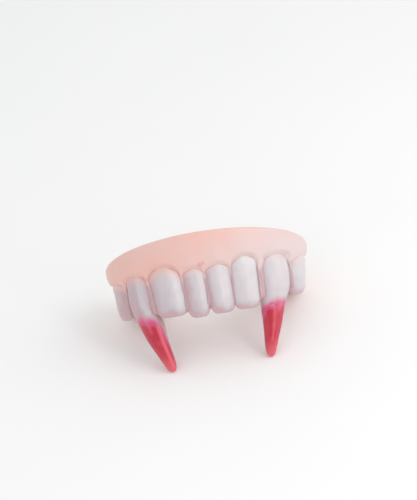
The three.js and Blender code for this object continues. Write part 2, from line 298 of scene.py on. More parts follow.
class Tooth:
    """A tooth's sizes and its rings: how wide and thick it is, and where it stands, at each height."""

    def __init__(self, row, reached, sizes, arch):
        self.name = row["name"]
        self.wide = sizes.tooth_width * row["width"]
        self.groove = sizes.tooth_gap * row["gap"]
        self.middle = row["side"] * (reached + self.groove + self.wide / 2)
        self.inner = reached
        self.outer = reached + self.groove + self.wide
        self.pitch = self.groove + self.wide
        self.bottom = sizes.crown_height * row["edge"]
        self.tall = sizes.crown_height * row["crown"]
        self.margin = self.bottom + self.tall
        self.fall = self.tall * row["dip"]
        self.is_fang = self.name in BLADES
        if self.is_fang:
            self.shape_fang(BLADES[self.name], sizes, arch)
        else:
            self.shape_flat(STANCES[self.name], sizes)

    def arched_margin(self, share):
        """Height of the gum margin at a share of the half width: highest in the middle, as a half ellipse."""
        return self.margin - self.fall * (1 - math.sqrt(1 - min(1, share) ** 2))

    def roundness(self, free, height):
        """Exponent of a ring's outline: squarer towards the gum margin than where the tooth stands free."""
        shoulder = self.arched_margin(1)
        squarer = smoothstep(shoulder - SQUARER_BELOW, self.margin - SQUARE_BELOW, height)
        return lerp(free, MARGIN_ROUNDNESS, squarer)

    def shape_flat(self, stance, sizes):
        thickness = sizes.tooth_thickness
        shoulder = self.arched_margin(1)
        heights = [lerp(self.bottom, shoulder, at) for at in TOOTH_FORM["at"]]
        heights += [self.arched_margin(width) for width in MARGIN_FORM["width"][:-2]]
        heights += [self.margin, self.margin + ROOT_STUB]
        width, face, back = (
            smooth_curve(heights, TOOTH_FORM[key] + MARGIN_FORM[key]) for key in ("width", "face", "back")
        )
        self.low, self.high = heights[0], heights[-1]

        def ring(height):
            down = max(0, (self.margin - height) / self.tall)
            inwards = thickness * (stance["tuck"] * down**2 - stance["proud"])
            return {
                "along": self.middle + self.wide * stance["lean"] * down,
                "half": (self.wide / 2 + sizes.paint_swell) * width(height),
                "face": -thickness * face(height) - inwards,
                "back": -thickness * back(height) - inwards,
                "shift": Vector((0, 0, 0)),
                "roundness": self.roundness(TOOTH_ROUNDNESS, height),
            }

        self.ring = ring

    def shape_fang(self, blade, sizes, arch):
        thickness = sizes.fang_thickness
        at = FANG_FORM["at"]
        curves = {key: smooth_curve(at, column) for key, column in FANG_FORM.items() if key != "at"}
        crown_middle = arch.place(self.middle, sizes.fang_proud - thickness / 2, 0)
        to_tip = Vector((sizes.arch_half_width * blade["tip"], sizes.fang_tip_depth, 0)) - crown_middle
        tip = sizes.fang_tip_height
        half = self.wide / 2 + sizes.paint_swell
        self.low, self.high = (lerp(tip, self.margin, at[i]) for i in (0, -1))

        def ring(height):
            share = (height - tip) / (self.margin - tip)
            row = {key: curve(share) for key, curve in curves.items()}
            face = sizes.fang_proud - thickness * row["face"]
            return {
                "along": self.middle,
                "half": half * lerp(blade["width"], 1, row["crown"]) * row["width"],
                "face": face,
                "back": face - thickness * row["thick"],
                "shift": to_tip * row["reach"] ** blade["hook"],
                "roundness": self.roundness(FANG_ROUNDNESS, height),
            }

        self.ring = ring


def seated_teeth(sizes, arch):
    """The teeth, each beside its neighbour nearer the middle."""
    teeth = []
    for side in (-1, 1):
        reached = 0
        for row in (r for r in TEETH if r["side"] == side):
            teeth.append(Tooth(row, reached, sizes, arch))
            reached = teeth[-1].outer
    return teeth


def lean_back(sizes):
    """The matrix from the arch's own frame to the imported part's, read off the mount on the trough's floor."""
    mount = next(m for m in frame["record"]["mounts"] if m["name"] == "bite_floor")
    turn = Matrix.Rotation(-math.atan2(mount["axis"][1], mount["axis"][2]), 4, "X")
    own = Vector((0, sizes.front_wall + sizes.trough_width / 2, sizes.bite_floor))
    return Matrix.Translation(Vector(mount["pos_m"]) - turn @ own) @ turn


def finished(name, mesh_source, sizes, material, node):
    """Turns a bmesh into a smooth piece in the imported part's frame that stands for a node."""
    bmesh.ops.transform(mesh_source, matrix=lean_back(sizes), verts=mesh_source.verts)
    bmesh.ops.recalc_face_normals(mesh_source, faces=mesh_source.faces)
    mesh = bpy.data.meshes.new(name)
    mesh_source.to_mesh(mesh)
    mesh_source.free()
    mesh.shade_smooth()
    mesh.materials.append(material)
    piece = bpy.data.objects.new(name, mesh)
    bpy.context.scene.collection.objects.link(piece)
    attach(piece, "root")
    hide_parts(node)
    return piece


def add_node(tree, kind, inputs=None, **settings):
    """Adds a shader node with its settings and inputs, each a value or the output that it is linked to."""
    node = tree.nodes.new(f"ShaderNode{kind}")
    for name, value in settings.items():
        setattr(node, name, value)
    for name, value in (inputs or {}).items():
        if isinstance(value, bpy.types.NodeSocket):
            tree.links.new(value, node.inputs[name])
        else:
            node.inputs[name].default_value = value
    return node


# Sockets of a Mix node that mixes colours: its two colours, and its result.
MIX_A, MIX_B, MIX_OUT = 6, 7, 2


def opaque(rgb):
    return (*rgb, 1)


def new_material(name):
    material = bpy.data.materials.new(name)
    material.use_nodes = True
    material.node_tree.nodes.clear()
    return material, material.node_tree


# Span that the values of a noise seldom leave.
NOISE_SPAN = {"From Min": 0.3, "From Max": 0.7}

# Sizes of the marks in the finishes, and the depth of the finest relief.
MOTTLE_SIZE = 7 * MM
PEEL_SIZE = 0.9 * MM
BRUSH_SIZE = 0.8 * MM
CLOUD_SIZE = 60 * MM
RELIEF_DEPTH = 0.1 * MM

# How rough the paint is, and the lacquer where it is full.
PAINT_ROUGHNESS = 0.34
LACQUER_ROUGHNESS = 0.2


def gum_vinyl():
    """Soft moulded PVC, pink all through. It is satin, takes light a little way in, and has a faint mottle and
    the fine orange peel of a hand-finished mould. Its pink also carries painted light: paler where the front is
    painted as lit, and painted shade along the margins and in the grooves."""
    colours = bpy.context.scene.denture_colours
    material, tree = new_material("soft moulded PVC, gum pink")
    object_place = add_node(tree, "TexCoord").outputs["Object"]
    cover_and_light = add_node(tree, "Attribute", attribute_name="cover_and_light").outputs["Vector"]
    parts = add_node(tree, "SeparateXYZ", {"Vector": cover_and_light}).outputs
    mottle = add_node(
        tree,
        "TexNoise",
        {"Vector": object_place, "Scale": 1 / MOTTLE_SIZE, "Detail": 3, "Roughness": 0.55},
    ).outputs["Fac"]
    drift = add_node(tree, "MapRange", {"Value": mottle, **NOISE_SPAN, "To Min": -0.08, "To Max": 0.08})
    paled_lit = add_node(
        tree, "Math", {0: parts["Y"], 1: drift.outputs["Result"]}, operation="ADD", use_clamp=True
    )
    coats = (
        (paled_lit.outputs[0], colours.gum_pale_lit),
        (parts["X"], colours.gum_deep_and_shade),
        (parts["Z"], colours.tooth_shade),
    )
    pink = opaque(colours.gum)
    for share, tint in coats:
        pink = add_node(
            tree, "Mix", {0: share, MIX_A: pink, MIX_B: opaque(tint)}, data_type="RGBA"
        ).outputs[MIX_OUT]
    peel = add_node(tree, "TexNoise", {"Vector": object_place, "Scale": 1 / PEEL_SIZE, "Detail": 2})
    relief = add_node(
        tree, "Bump", {"Height": peel.outputs["Fac"], "Strength": 0.1, "Distance": RELIEF_DEPTH}
    )
    gloss = add_node(tree, "MapRange", {"Value": mottle, **NOISE_SPAN, "To Min": 0.4, "To Max": 0.52})
    shader = add_node(
        tree,
        "BsdfPrincipled",
        {
            "Base Color": pink,
            "Roughness": gloss.outputs["Result"],
            "IOR": 1.53,
            "Subsurface Weight": 0.3,
            "Subsurface Radius": (1, 0.45, 0.35),
            "Subsurface Scale": 1.2 * MM,
            "Normal": relief.outputs["Normal"],
        },
    )
    add_node(tree, "OutputMaterial", {"Surface": shader.outputs["BSDF"]})
    return material


def painted_tooth():
    """White paint airbrushed over the pink PVC: satin, thin and pink towards the grooves, the margin and the
    biting edge, where the vinyl shows through, with faint upright brush marks. Its white also carries painted
    light: painted shade on the flank turned from the light, a painted highlight band, and a tooth lighter
    towards its top."""
    colours = bpy.context.scene.denture_colours
    material, tree = new_material("satin white paint on pink PVC")
    surface = paint_layers(tree, colours)
    shader = add_node(
        tree,
        "BsdfPrincipled",
        {
            "Base Color": surface["colour"],
            "Roughness": PAINT_ROUGHNESS,
            "IOR": 1.5,
            "Subsurface Weight": 0.2,
            "Subsurface Radius": (1, 0.6, 0.55),
            "Subsurface Scale": 0.8 * MM,
            "Coat Weight": 0.35,
            "Coat Roughness": 0.18,
            "Normal": surface["relief"],
        },
    )
    add_node(tree, "OutputMaterial", {"Surface": shader.outputs["BSDF"]})
    return material


def lacquered_fang():
    """White paint on the crown and clear red lacquer on the blade: glossy, magenta where it is thin, with
    darker streaks along the blade, partly where it ran and partly painted shade, and lighter streaks that are
    painted highlights."""
    colours = bpy.context.scene.denture_colours
    material, tree = new_material("glossy red lacquer on painted PVC")
    surface = paint_layers(tree, colours)
    parts = add_node(tree, "SeparateXYZ", {"Vector": surface["cover_and_light"]}).outputs
    red = add_node(
        tree,
        "Mix",
        {0: parts["Z"], MIX_A: opaque(colours.red), MIX_B: opaque(colours.red_light)},
        data_type="RGBA",
    ).outputs[MIX_OUT]
    covered = surface["colour"]
    for none, full, tint in ((0, 0.5, opaque(colours.magenta)), (0.3, 0.9, red)):
        share = add_node(
            tree, "MapRange", {"Value": parts["Y"], "From Min": none, "From Max": full}
        ).outputs["Result"]
        covered = add_node(
            tree, "Mix", {0: share, MIX_A: covered, MIX_B: tint}, data_type="RGBA"
        ).outputs[MIX_OUT]
    gloss = add_node(
        tree,
        "MapRange",
        {"Value": parts["Y"], "To Min": PAINT_ROUGHNESS, "To Max": LACQUER_ROUGHNESS},
    )
    shader = add_node(
        tree,
        "BsdfPrincipled",
        {
            "Base Color": covered,
            "Roughness": gloss.outputs["Result"],
            "IOR": 1.5,
            "Subsurface Weight": 0.25,
            "Subsurface Radius": (1, 0.3, 0.3),
            "Subsurface Scale": 1 * MM,
            "Coat Weight": 0.25,
            "Coat Roughness": 0.08,
            "Normal": surface["relief"],
        },
    )
    add_node(tree, "OutputMaterial", {"Surface": shader.outputs["BSDF"]})
    return material


def paint_layers(tree, colours):
    """The vinyl, thin paint and full paint of a tooth, by how much white its cover has, the vinyl that is left
    bare, and a brushed relief. The white is partly painted light, so the thin paint's mauve also stands for
    painted shade and the full white partly for a painted highlight."""
    object_place = add_node(tree, "TexCoord").outputs["Object"]
    cover_and_light = add_node(tree, "Attribute", attribute_name="cover_and_light").outputs["Vector"]
    parts = add_node(tree, "SeparateXYZ", {"Vector": cover_and_light}).outputs
    brush = add_node(
        tree, "Mapping", {"Vector": object_place, "Scale": (1, 0.25, 0.25)}, vector_type="POINT"
    )
    marks = add_node(
        tree,
        "TexNoise",
        {"Vector": brush.outputs["Vector"], "Scale": 1 / BRUSH_SIZE, "Detail": 3, "Roughness": 0.6},
    ).outputs["Fac"]
    uneven = add_node(tree, "MapRange", {"Value": marks, **NOISE_SPAN, "To Min": -0.04, "To Max": 0.04})
    white = add_node(
        tree, "Math", {0: parts["X"], 1: uneven.outputs["Result"]}, operation="ADD", use_clamp=True
    ).outputs[0]
    bare = add_node(tree, "Attribute", attribute_name="bare").outputs["Fac"]
    coats = (
        (white, 0, 0.35, colours.tooth_shade),
        (white, 0.35, 0.6, colours.tooth_grey),
        (white, 0.6, 1, colours.tooth_white),
        (bare, 0, 1, colours.gum),
    )
    covered = opaque(colours.gum)
    for value, none, full, tint in coats:
        share = add_node(
            tree, "MapRange", {"Value": value, "From Min": none, "From Max": full}
        ).outputs["Result"]
        covered = add_node(
            tree, "Mix", {0: share, MIX_A: covered, MIX_B: opaque(tint)}, data_type="RGBA"
        ).outputs[MIX_OUT]
    relief = add_node(tree, "Bump", {"Height": marks, "Strength": 0.12, "Distance": RELIEF_DEPTH})
    return {"colour": covered, "cover_and_light": cover_and_light, "relief": relief.outputs["Normal"]}


def rounded_path(corners, arc_steps, between):
    """Points along straight lines whose corners, each an out, a height and a radius, are rounded. The first
    and the last corner are the path's ends."""
    arc = [i / arc_steps for i in range(arc_steps + 1)]
    plan = [(Vector(c[:2]), c[2]) for c in corners]
    pieces = [[plan[0][0]]]
    for (before, _), (corner, radius), (after, _) in zip(plan, plan[1:], plan[2:]):
        start = corner + (before - corner).normalized() * radius
        end = corner + (after - corner).normalized() * radius
        pieces.append([start.lerp(corner, t).lerp(corner.lerp(end, t), t) for t in arc])
    pieces.append([plan[-1][0]])
    path = []
    for piece, following in zip(pieces, pieces[1:]):
        path += piece
        path += [piece[-1].lerp(following[0], i / (between + 1)) for i in range(1, between + 1)]
    return path + pieces[-1]


def last_outer(teeth, along):
    """Where the last tooth on a place's side ends."""
    return max(t.outer for t in teeth if (t.middle > 0) == (along > 0))


class GumSection:
    """The outline of the gum across the arch, at any length along it."""

    FRONT_ROWS = 92
    ARC_STEPS = 4
    BETWEEN = 7

    def __init__(self, sizes, arch, teeth):
        self.sizes = sizes
        self.arch = arch
        self.teeth = teeth
        lip, bulge = sizes.gum_lip, sizes.gum_bulge
        self.front = smooth_curve([0, *FALL_AT, 1], [bulge, *(lerp(bulge, lip, part) for part in FALL), lip])
        strips = [t for t in teeth if t.groove > WIDE_GROOVE]
        fangs = [t for t in teeth if t.is_fang]
        self.shallows = [
            (math.copysign(t.inner + t.groove / 2, t.middle), t.groove, sizes.strip_depth) for t in strips
        ]
        self.shallows += [
            (math.copysign(t.outer, t.middle), OUTER_GROOVE_HALF, sizes.outer_depth) for t in fangs
        ]
        in_line = sorted(teeth, key=lambda tooth: tooth.middle)
        self.mean_margin = smooth_curve([t.middle for t in in_line], [t.arched_margin(0.8) for t in in_line])

    def alongside(self, along, front, heel):
        """A height that changes evenly from the front to where the arms begin."""
        return lerp(front, heel, min(1, self.arch.face(along)[0].y / self.sizes.arch_curve_depth))

    def nearest(self, along):
        """The tooth in front of a place on the gum, or the last one beside it."""
        own = [t for t in self.teeth if (t.middle > 0) == (along > 0)]
        return next((t for t in own if abs(along) <= t.outer), own[-1])

    def margin(self, along):
        tooth = self.nearest(along)
        return tooth.arched_margin(abs(along - tooth.middle) / (tooth.pitch / 2))

    def behind(self, along, height):
        """How far in the gum lies behind a tooth here, or None beside the teeth."""
        deepest = None
        for tooth in self.teeth:
            if abs(along - tooth.middle) > tooth.pitch or not tooth.low < height < tooth.margin:
                continue
            ring = tooth.ring(height)
            _, outwards = self.arch.face(tooth.middle)
            sideways = Vector((-outwards.y, outwards.x, 0))
            half = ring["half"] - GUM_HOLD
            across = abs(along - ring["along"] - ring["shift"].dot(sideways))
            if across >= half:
                continue
            bulge = (1 - (across / half) ** HOLD_ROUNDNESS) ** (1 / HOLD_ROUNDNESS)
            middle = (ring["face"] + ring["back"]) / 2 + ring["shift"].dot(outwards)
            here = middle - bulge * (ring["face"] - ring["back"]) / 2
            deepest = here if deepest is None else min(deepest, here)
        return deepest

    def face_out(self, along, height):
        """How far out the face of the nearest tooth stands."""
        ring = self.nearest(along).ring(height)
        across = min(1, abs(along - ring["along"]) / ring["half"])
        forward = (1 - across ** ring["roundness"]) ** (1 / ring["roundness"])
        return lerp(ring["back"], ring["face"], (forward + 1) / 2)

    def groove_out(self, along):
        """How far out the gum stands beside the teeth, below the margin."""
        sizes = self.sizes
        past = smoothstep(0, ARM_BLEND, self.past(along))
        out = lerp(-sizes.groove_depth, -sizes.gum_recess, past)
        for middle, half, depth in self.shallows:
            none, full = (half * edge for edge in SHALLOW_EDGES)
            out = lerp(out, -depth, smoothstep(none, full, abs(along - middle)))
        tooth = self.nearest(along)
        off_crease = (tooth.outer - abs(along), abs(along) - tooth.inner)
        return out - sizes.crease_depth * math.exp(-((min(off_crease) / CREASE_WIDTH) ** 2)) * (1 - past)

    def front_out(self, along, height, top, margin):
        """How far out the front of the gum stands."""
        sizes = self.sizes
        tooth = self.nearest(along)
        share = min(1, max(0, (top - height) / (top - self.mean_margin(along))))
        off_middle = min(1, abs(along - tooth.middle) / (tooth.pitch / 2))
        swell = math.cos(math.pi / 2 * off_middle) ** 2
        past = smoothstep(0, ARM_BLEND, self.past(along))
        ripple = sizes.root_bulge * (swell - 0.5) * smoothstep(*ROOT_SPAN, share) * (1 - past)
        above = height - margin
        groove = self.groove_out(along)
        face = lerp(self.face_out(along, min(height, margin - SEAT_BELOW)), groove, past)
        out = lerp(max(face, groove), self.front(share) + ripple, smoothstep(*MARGIN_BLEND, above))
        over_gum = smoothstep(0, SEAT_STEP, face - groove)
        out -= sizes.seat_depth * smoothstep(*SEAT_BLEND, above / MM) * over_gum
        waver = noise.noise(Vector((along, height, 0)) / WAVER_LENGTH) * WAVER_DEPTH
        out += waver * smoothstep(0, WAVER_FADE, above) * smoothstep(0, WAVER_FADE, top - height)
        held = self.behind(along, height)
        if held is not None:
            out = min(out, lerp(out, held, smoothstep(*DIVE, -above / MM)))
        return out

    def groove_shade(self, along, height):
        """How much darker red-brown the bottoms of the grooves beside the fangs are: painted shade, tinted by
        the red lacquer beside them.
        """
        places = [abs(along) - t.inner - t.groove / 2 for t in self.teeth if t.is_fang]
        return changed("groove_shade", height / MM) * max(math.exp(-((p / MM) ** 2)) for p in places)

    def cover_of(self, along, out, height):
        """How deep and how pale the pink is, and how much of the teeth's paint has drifted onto it. Much of it
        is painted light. The gum is painted paler towards the viewer's right and higher up. The deeper pink
        along the margin is partly painted shade, the bottoms of the grooves beside the fangs hold painted
        shade, and the paint drifted into the grooves is partly painted shade.
        """
        place, forward, tall = along / MM, out / MM, height / MM
        above = (height - self.margin(along)) / MM
        past = self.past(along) / MM
        shown = {name: changed(name, forward) for name in ("front", "lit", "under")}
        blotch = noise.noise(Vector((along, height, 3 * MM)) / BLOTCH_LENGTH)
        # The deeper pink along the margin is partly painted shade under the gum's lip.
        band = 1 - changed("band", abs(above + 0.3))
        # Painted shade, tinted red, at the bottoms of the grooves beside the fangs.
        groove_shade = self.groove_shade(along, height)
        deep = max(MARGIN_DEEP_AND_SHADE * band * (0.8 + blotch), groove_shade)
        # Two pink marks of the mould, and one painted highlight.
        for mark in MOULD_MARKS_AND_HIGHLIGHT:
            off = (place - mark["along"]) ** 2 + (tall - mark["height"]) ** 2
            deep += mark["deep"] * math.exp(-off / mark["wide"] ** 2)
        # Painted light: the gum is painted paler towards the viewer's right and higher up.
        left, right = LOW_LIT_ENDS
        low_lit = min(1, max(0.1, (place - left) / (right - left)))
        high_lit = HIGH_LIT["middle"] + sum(
            HIGH_LIT[side] * changed(side, place) for side in ("right", "left")
        )
        pale_and_lit = lerp(low_lit, high_lit, changed("rim", above))
        pale_and_lit = lerp(REAR_PALE, pale_and_lit, shown["front"] * changed("arms", past))
        # The paint drifted into the grooves and the notches under the teeth is partly painted shade.
        sprayed_shaded = changed("sprayed_shaded", above) * changed("sprayed arms", past)
        shown_spray_and_shade = max(shown["lit"], changed("underside", tall) * shown["under"])
        spray_and_shade = MOST_SPRAY_AND_SHADE * sprayed_shaded * (1 - SHADE_OVER_SPRAY * groove_shade) * shown_spray_and_shade
        return Vector((lerp(REAR_DEEP, min(1, max(0, deep)), shown["lit"]), pale_and_lit, spray_and_shade))

    def past(self, along):
        """How far a place lies behind the last tooth on its side."""
        return abs(along) - last_outer(self.teeth, along)

    def points(self, along):
        """The section's outline as outs and heights."""
        sizes = self.sizes
        top = self.alongside(along, sizes.gum_top, sizes.gum_heel)
        underside = self.alongside(along, sizes.underside_front, sizes.underside_heel)
        front_edge = underside + self.alongside(along, sizes.front_edge_raise, 0)
        margin = self.margin(along)
        rim = sizes.flange_wall / 2
        radius = sizes.edge_radius
        front_radius = sizes.front_edge_radius
        inside = sizes.front_wall + sizes.trough_width
        back = inside + sizes.tongue_wall
        tongue_top = sizes.bite_floor + sizes.tongue_wall_height
        foot = front_edge + front_radius
        heights = [lerp(top - rim, foot, i / self.FRONT_ROWS) for i in range(self.FRONT_ROWS + 1)]
        front = [Vector((self.front_out(along, h, top - rim, margin), h)) for h in heights]
        corners = [
            (front[-1].x, foot, 0),
            (front[-1].x, front_edge, front_radius * SNUG),
            (-back, underside, radius),
            (-back, tongue_top, radius * SNUG),
            (-inside, tongue_top, radius * SNUG),
            (-inside, sizes.bite_floor, sizes.floor_radius),
            (-sizes.front_wall, sizes.bite_floor, sizes.floor_radius),
            (-sizes.root_wall, lerp(sizes.bite_floor, top, FLARE_START), 2 * sizes.floor_radius),
            (sizes.gum_bulge - sizes.flange_wall, top, rim * RIM_SNUG),
            (sizes.gum_bulge, top, rim * RIM_SNUG),
            (sizes.gum_bulge, top - rim, 0),
        ]
        rest = rounded_path(corners, self.ARC_STEPS, self.BETWEEN)
        return front + rest[1:-1]


# Small marks on the gum, by their place and half width in mm: two deeper pink spots that the mould left near
# the middle, and a pale spot that is a painted highlight near the margin where the left lateral tooth meets the
# left fang. deep is below 0 where one is pale.
MOULD_MARKS_AND_HIGHLIGHT = (
    {"along": -0.9, "height": 15.2, "wide": 0.7, "deep": 0.6},
    {"along": 0.2, "height": 15.6, "wide": 0.45, "deep": 0.45},
    {"along": -17.2, "height": 16.2, "wide": 0.7, "deep": -0.4},
)

# Spans over which the colours change, in mm, each from none of the change to all of it. On the gum, band is by
# the distance from the margin, rim and the drifted paint by the height above it, front, lit and under by the
# place outwards, right and left by the place along the teeth, arms and the drifted paint's arms by the way past
# the last tooth, and the groove shade beside the fangs and underside by the height. rim, right and left spread
# the gum's painted light, which makes it paler higher up and towards the viewer's right. band spreads the
# margin's deeper pink, which is partly painted shade. The drifted paint in the grooves is partly painted shade,
# and the groove shade beside the fangs is painted shade. On a fang, thin and full are by the height over the
# lacquer's start, low back and tip by the height, and back by the place to the front, in half thicknesses.
SPANS = {
    "band": (0, 2.4), "rim": (1, 12), "sprayed_shaded": (-0.2, -2.6),
    "front": (-3.5, -0.5), "lit": (-3.7, -3), "under": (-9, -5),
    "right": (4, 24), "left": (-6, -16), "arms": (9, 0), "sprayed arms": (1.5, 0),
    "groove_shade": (6.5, 2.5), "underside": (4, 3),
    "thin": (1.7, -1.2), "full": (0.7, -1.1), "low back": (-13, -8), "tip": (-9, -14.5),
    "back": (-0.75, -0.2),
}


def changed(span, x):
    """How much of a change of colour is done at a place in its span."""
    return smoothstep(*SPANS[span], x)


# How pale the gum is: high up, by its place, and at the rear. Low down it pales evenly between two places in
# mm. On the front this paleness is painted light: the gum is painted paler towards the viewer's right, where
# the key light falls, and higher up, where the light from above falls.
HIGH_LIT = {"middle": 0.12, "right": 0.6, "left": 0.35}
REAR_PALE = 0.45
LOW_LIT_ENDS = (-20, 22)

# How deep the pink is along the margin, partly the vinyl's own and partly painted shade under the gum's lip,
# and at the rear, and the size of its blotches.
MARGIN_DEEP_AND_SHADE = 0.08
REAR_DEEP = 0.06
BLOTCH_LENGTH = 4 * MM

# The most paint that has drifted onto the gum, partly painted shade in the grooves between the teeth, and how
# much of it the painted shade at the bottoms of the grooves beside the fangs takes away.
MOST_SPRAY_AND_SHADE = 0.95
SHADE_OVER_SPRAY = 0.55

# How the front falls from the rim's bulge to the margin's lip: shares of the way down, and of the fall.
FALL_AT = (0.35, 0.7)
FALL = (0.08, 0.4)

# Length and depth of the front's unevenness, and how far from the margin and the rim it fades.
WAVER_LENGTH = 5 * MM
WAVER_DEPTH = 0.09 * MM
WAVER_FADE = 2 * MM

# The gum's way past the margin: from the tooth's face out to the flange and, in mm, from over the face to
# under it, and from there round the tooth's back. The face passes over the gum where it stands out by the
# seat's step.
MARGIN_BLEND = (-0.4 * MM, 1.4 * MM)
SEAT_BLEND = (0.3, -0.4)
SEAT_STEP = 0.3 * MM
DIVE = (0.45, 1.1)

# Where a root's swelling begins and is full, in shares of the way from the rim to the margin.
ROOT_SPAN = (0.1, 0.8)

# Where a shallow groove begins and has its own depth, in its half widths.
SHALLOW_EDGES = (2.2, 0.6)

# Shares of the full radius at corners whose roundings meet.
SNUG = 0.95
RIM_SNUG = 0.98

# Length over which the gum changes behind the last tooth.
ARM_BLEND = 1.6 * MM

# A groove wider than this is a strip of gum between its two teeth.
WIDE_GROOVE = 0.9 * MM

# Half the width of the shallow groove between a fang and the last tooth.
OUTER_GROOVE_HALF = 0.9 * MM

# Half the width of the crease along the middle of a groove.
CREASE_WIDTH = 0.3 * MM

# Share of the trough's height from which its front wall flares outwards.
FLARE_START = 0.62

# How far below the margin the gum finds the face of the tooth that it runs down to.
SEAT_BELOW = 0.3 * MM

# How far inside a tooth's outline the gum begins to pass behind it, and the exponent of its way round the
# back.
GUM_HOLD = 0.42 * MM
HOLD_ROUNDNESS = 2.6

# Lengths of the gum's mesh along the teeth and along the arms, and how far past the last tooth the first
# goes.
TOOTH_STEP = 0.23 * MM
ARM_STEP = 0.7 * MM
FINE_PAST = 2 * MM


def gum_stations(arch, teeth):
    """Where the gum has its sections: close together along the teeth, and wider apart along the arms."""
    inner = [side * (last_outer(teeth, side) + FINE_PAST) for side in (-1, 1)]
    steps = round((inner[1] - inner[0]) / TOOTH_STEP)
    stations = [lerp(*inner, i / steps) for i in range(steps + 1)]
    ends = arch.half_length
    for side, start in ((-1, inner[0]), (1, inner[1])):
        count = round((ends - abs(start)) / ARM_STEP)
        arm = [side * lerp(abs(start), ends, (i + 1) / count) for i in range(count)]
        stations = [*reversed(arm), *stations] if side < 0 else [*stations, *arm]
    return stations


# Rounding of the gum's cut ends, and how near two of its points are one.
END_ROUND = 0.25 * MM
SAME_POINT = 0.001 * MM


class DENTURE_OT_mould_gum(bpy.types.Operator):
    """Mould the gum: flange, trough and tongue wall in one soft piece that holds the teeth"""

    bl_idname = "denture.mould_gum"
    bl_label = "Mould the gum"

    def execute(self, context):
        sizes = context.scene.denture_sizes
        arch = Arch(sizes)
        teeth = seated_teeth(sizes, arch)
        section = GumSection(sizes, arch, teeth)
        stations = gum_stations(arch, teeth)
        outlines = [section.points(along) for along in stations]
        around = len(outlines[0])
        form = bmesh.new()
        # Each point's colour shares, painted light and painted shade among them.
        cover_and_light = form.verts.layers.float_vector.new("cover_and_light")
        bmesh.ops.create_grid(form, x_segments=len(stations) - 1, y_segments=around, size=1)
        for vertex in form.verts:
            i = round((vertex.co.x + 1) / 2 * (len(stations) - 1))
            j = round((vertex.co.y + 1) / 2 * around) % around
            out, height = outlines[i][j]
            vertex.co = arch.place(stations[i], out, height)
            vertex[cover_and_light] = section.cover_of(stations[i], out, height)
        bmesh.ops.remove_doubles(form, verts=form.verts, dist=SAME_POINT)
        ends = bmesh.ops.holes_fill(form, edges=[e for e in form.edges if e.is_boundary])["faces"]
        if len(ends) != 2:
            raise RuntimeError(f"the gum has {len(ends)} cut ends, and not 2")
        bmesh.ops.recalc_face_normals(form, faces=form.faces)
        rims = list({edge for face in ends for edge in face.edges})
        bmesh.ops.bevel(
            form, geom=rims, affect="EDGES", offset=END_ROUND, segments=3, profile=0.5, material=-1,
            clamp_overlap=True,
        )
        finished("gum", form, sizes, gum_vinyl(), "gum_base")
        return {"FINISHED"}


def ring_point(arch, ring, angle, height):
    """A point of a tooth's ring, and how far across and forward it is, each from -1 to 1."""
    power = 2 / ring["roundness"]
    across, forward = (math.copysign(abs(x) ** power, x) for x in (math.cos(angle), math.sin(angle)))
    out = lerp(ring["back"], ring["face"], (forward + 1) / 2)
    point = arch.place(ring["along"] + across * ring["half"], out, height) + ring["shift"]
    return point, across, forward


def seen_from_front(arch, ring, point, height):
    """How far a point of a ring is to the right and to the front of its middle, each from -1 to 1."""
    middle = arch.place(ring["along"], (ring["face"] + ring["back"]) / 2, height) + ring["shift"]
    _, outwards = arch.face(ring["along"])
    half, thick = ring["half"], (ring["face"] - ring["back"]) / 2
    wide = math.hypot(half * outwards.y, thick * outwards.x)
    deep = math.hypot(half * outwards.x, thick * outwards.y)
    return (point.x - middle.x) / wide, (middle.y - point.y) / deep


# Sides and rings of a tooth's mesh.
TOOTH_SIDES = 72
TOOTH_RINGS = 96

# Length and depth of the unevenness of a tooth's face.
TOOTH_WAVE_LENGTH = 3 * MM
TOOTH_WAVE_DEPTH = 0.05 * MM


def tooth_form(tooth, arch, cover_of):
    """A tooth as a bmesh in the arch's frame: a sphere whose rings take the tooth's own."""
    form = bmesh.new()
    # Each point's colour shares, painted shade and painted highlights among them.
    cover_and_light = form.verts.layers.float_vector.new("cover_and_light")
    bare = form.verts.layers.float.new("bare")
    bmesh.ops.create_uvsphere(form, u_segments=TOOTH_SIDES, v_segments=TOOTH_RINGS, radius=1)
    for vertex in form.verts:
        share = (1 + max(-1, min(1, vertex.co.z))) / 2
        height = lerp(tooth.low, tooth.high, share)
        angle = math.atan2(vertex.co.y, vertex.co.x)
        ring = tooth.ring(height)
        point, across, forward = ring_point(arch, ring, angle, height)
        if tooth.is_fang:
            across, forward = seen_from_front(arch, ring, point, height)
        wave = noise.noise(point / TOOTH_WAVE_LENGTH) * TOOTH_WAVE_DEPTH * smoothstep(0.02, 0.15, share)
        vertex.co = point + arch.face(ring["along"])[1] * wave * max(0, forward)
        vertex[cover_and_light] = cover_of(tooth, ring, height, across, forward)
        vertex[bare] = bare_share(tooth, ring, height, across, forward)
    return form


def make_teeth(context, fangs, name, material, cover_of):
    """Shapes the fangs, or the flat teeth, and gives them their finish."""
    sizes = context.scene.denture_sizes
    arch = Arch(sizes)
    for tooth in seated_teeth(sizes, arch):
        if tooth.is_fang == fangs:
            form = tooth_form(tooth, arch, cover_of)
            finished(f"{name}_{tooth.name}", form, sizes, material, tooth.name)


